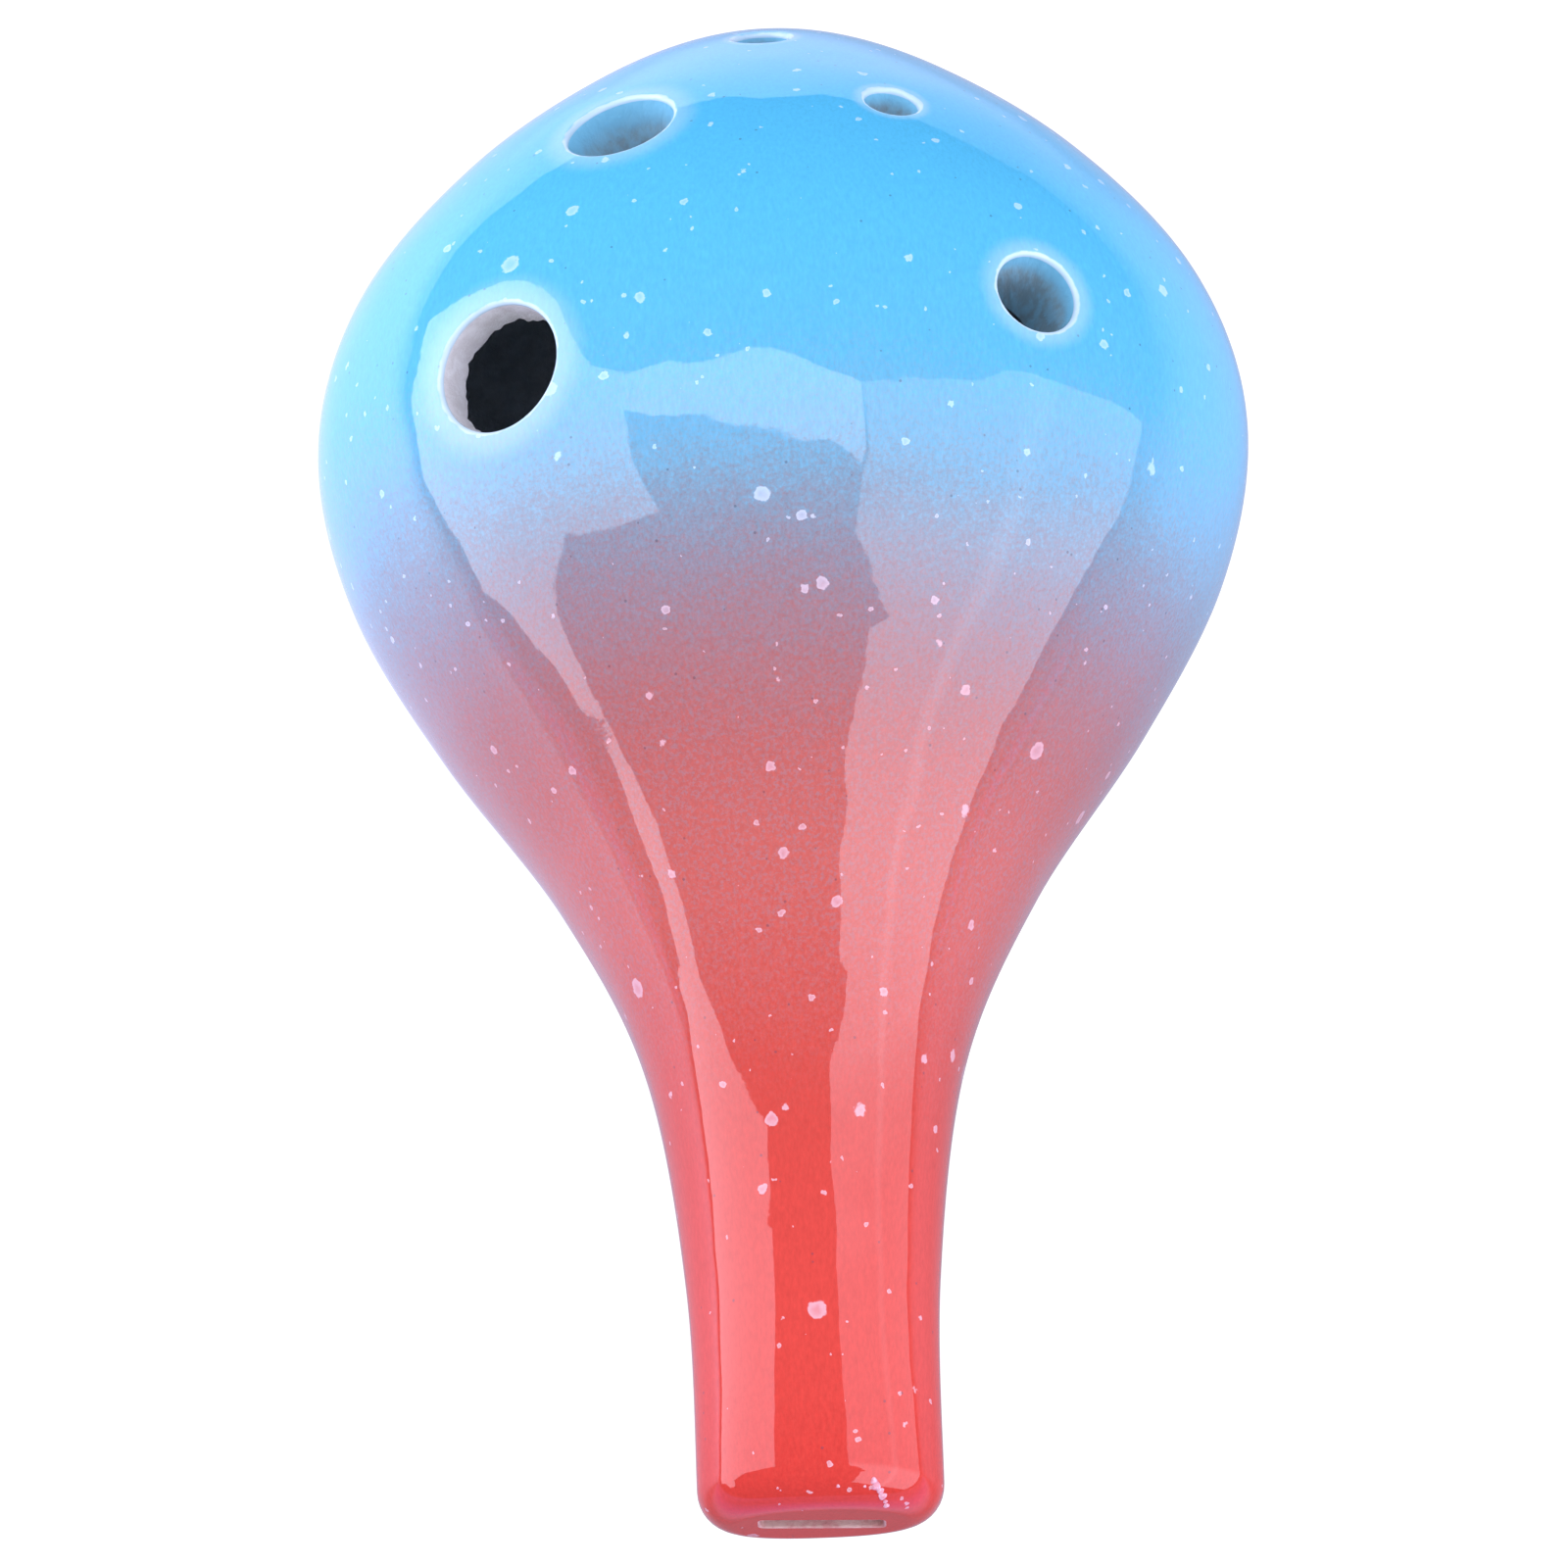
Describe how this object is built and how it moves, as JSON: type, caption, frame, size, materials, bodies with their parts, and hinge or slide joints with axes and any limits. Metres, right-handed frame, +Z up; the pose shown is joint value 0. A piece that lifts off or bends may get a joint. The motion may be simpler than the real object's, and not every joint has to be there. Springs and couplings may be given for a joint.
{
  "type": "ceramic ocarina",
  "caption": "Pear-shaped glazed ceramic vessel flute with a straight beak mouthpiece, finger holes on the dome, a sound window below and a pierced tail.",
  "frame": {"origin": "centre of the bounding box's underside, at the level of the resting flat", "axes": "+Z up through the finger holes' side, +Y from the mouthpiece to the tail, +X to the right for the player's view from the mouthpiece"},
  "size_m": [0.0736, 0.1238, 0.0542],
  "materials": {
    "blue_glaze": "glossy sky-blue glaze",
    "red_glaze": "glossy coral-red glaze",
    "bisque": "unglazed fired clay"
  },
  "bodies": {
    "root": {"upper_shell": "blue_glaze", "lower_shell": "blue_glaze", "tail_plug": "blue_glaze", "mouthpiece_upper": "red_glaze", "mouthpiece_lower": "red_glaze", "windway_block": "bisque", "labium": "bisque"}
  },
  "joints": []
}
